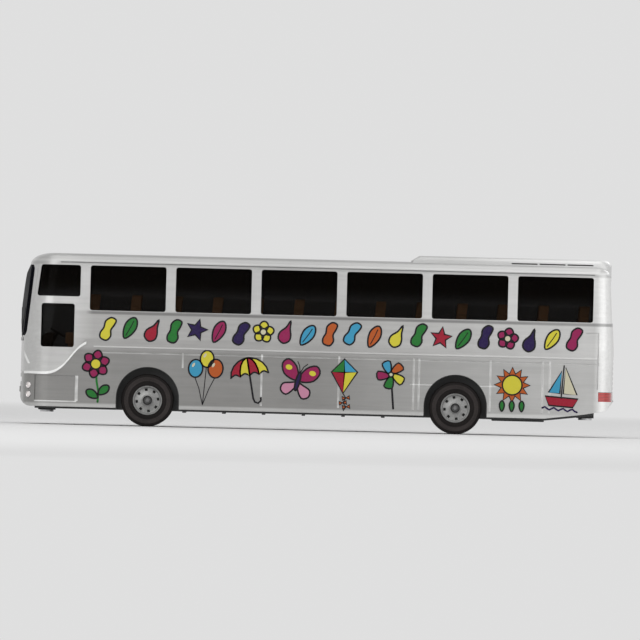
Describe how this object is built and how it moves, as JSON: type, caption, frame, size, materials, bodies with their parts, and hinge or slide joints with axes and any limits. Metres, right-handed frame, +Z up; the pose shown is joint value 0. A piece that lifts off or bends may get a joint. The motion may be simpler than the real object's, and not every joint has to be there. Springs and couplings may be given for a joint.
{
  "type": "toy coach bus",
  "caption": "Small die-cast toy of a high-deck coach bus with tinted one-piece glazing, seats inside, a roof air unit, a black base and free-rolling wheels on two axles.",
  "frame": {"origin": "on the floor, at the middle of the bounding box", "axes": "+X towards the tail, -X towards the front, +Y towards the bus's right side, +Z up"},
  "size_m": [0.1384, 0.0292, 0.0413],
  "materials": {
    "body_silver": "satin metallic",
    "unit_silver": "satin",
    "tinted_glazing": "clear tinted",
    "seat_brown": "moulded",
    "base_black": "moulded",
    "axle_steel": "drawn",
    "rim_grey": "painted",
    "tyre_black": "matt",
    "lamp_clear": "clear",
    "lamp_red": "clear",
    "rivet_metal": "pressed"
  },
  "bodies": {
    "coach": {"body_shell": "body_silver", "roof_air_unit": "unit_silver", "glazing_unit": "tinted_glazing", "seat_deck": "seat_brown", "base_plate": "base_black", "front_rivet": "rivet_metal", "rear_rivet": "rivet_metal", "left_headlamps": "lamp_clear", "right_headlamps": "lamp_clear", "left_tail_lamp": "lamp_red", "right_tail_lamp": "lamp_red"},
    "front_wheels": {"front_axle": "axle_steel", "front_left_rim": "rim_grey", "front_right_rim": "rim_grey", "front_left_tyre": "tyre_black", "front_right_tyre": "tyre_black"},
    "rear_wheels": {"rear_axle": "axle_steel", "rear_left_rim": "rim_grey", "rear_right_rim": "rim_grey", "rear_left_tyre": "tyre_black", "rear_right_tyre": "tyre_black"}
  },
  "joints": [
    {"name": "front_axle_spin", "type": "hinge", "parent": "coach", "child": "front_wheels", "pos_m": [-0.0392, 0, 0.0061], "axis": [0, 1, 0], "continuous": true},
    {"name": "rear_axle_spin", "type": "hinge", "parent": "coach", "child": "rear_wheels", "pos_m": [0.0323, 0, 0.0061], "axis": [0, 1, 0], "continuous": true}
  ]
}
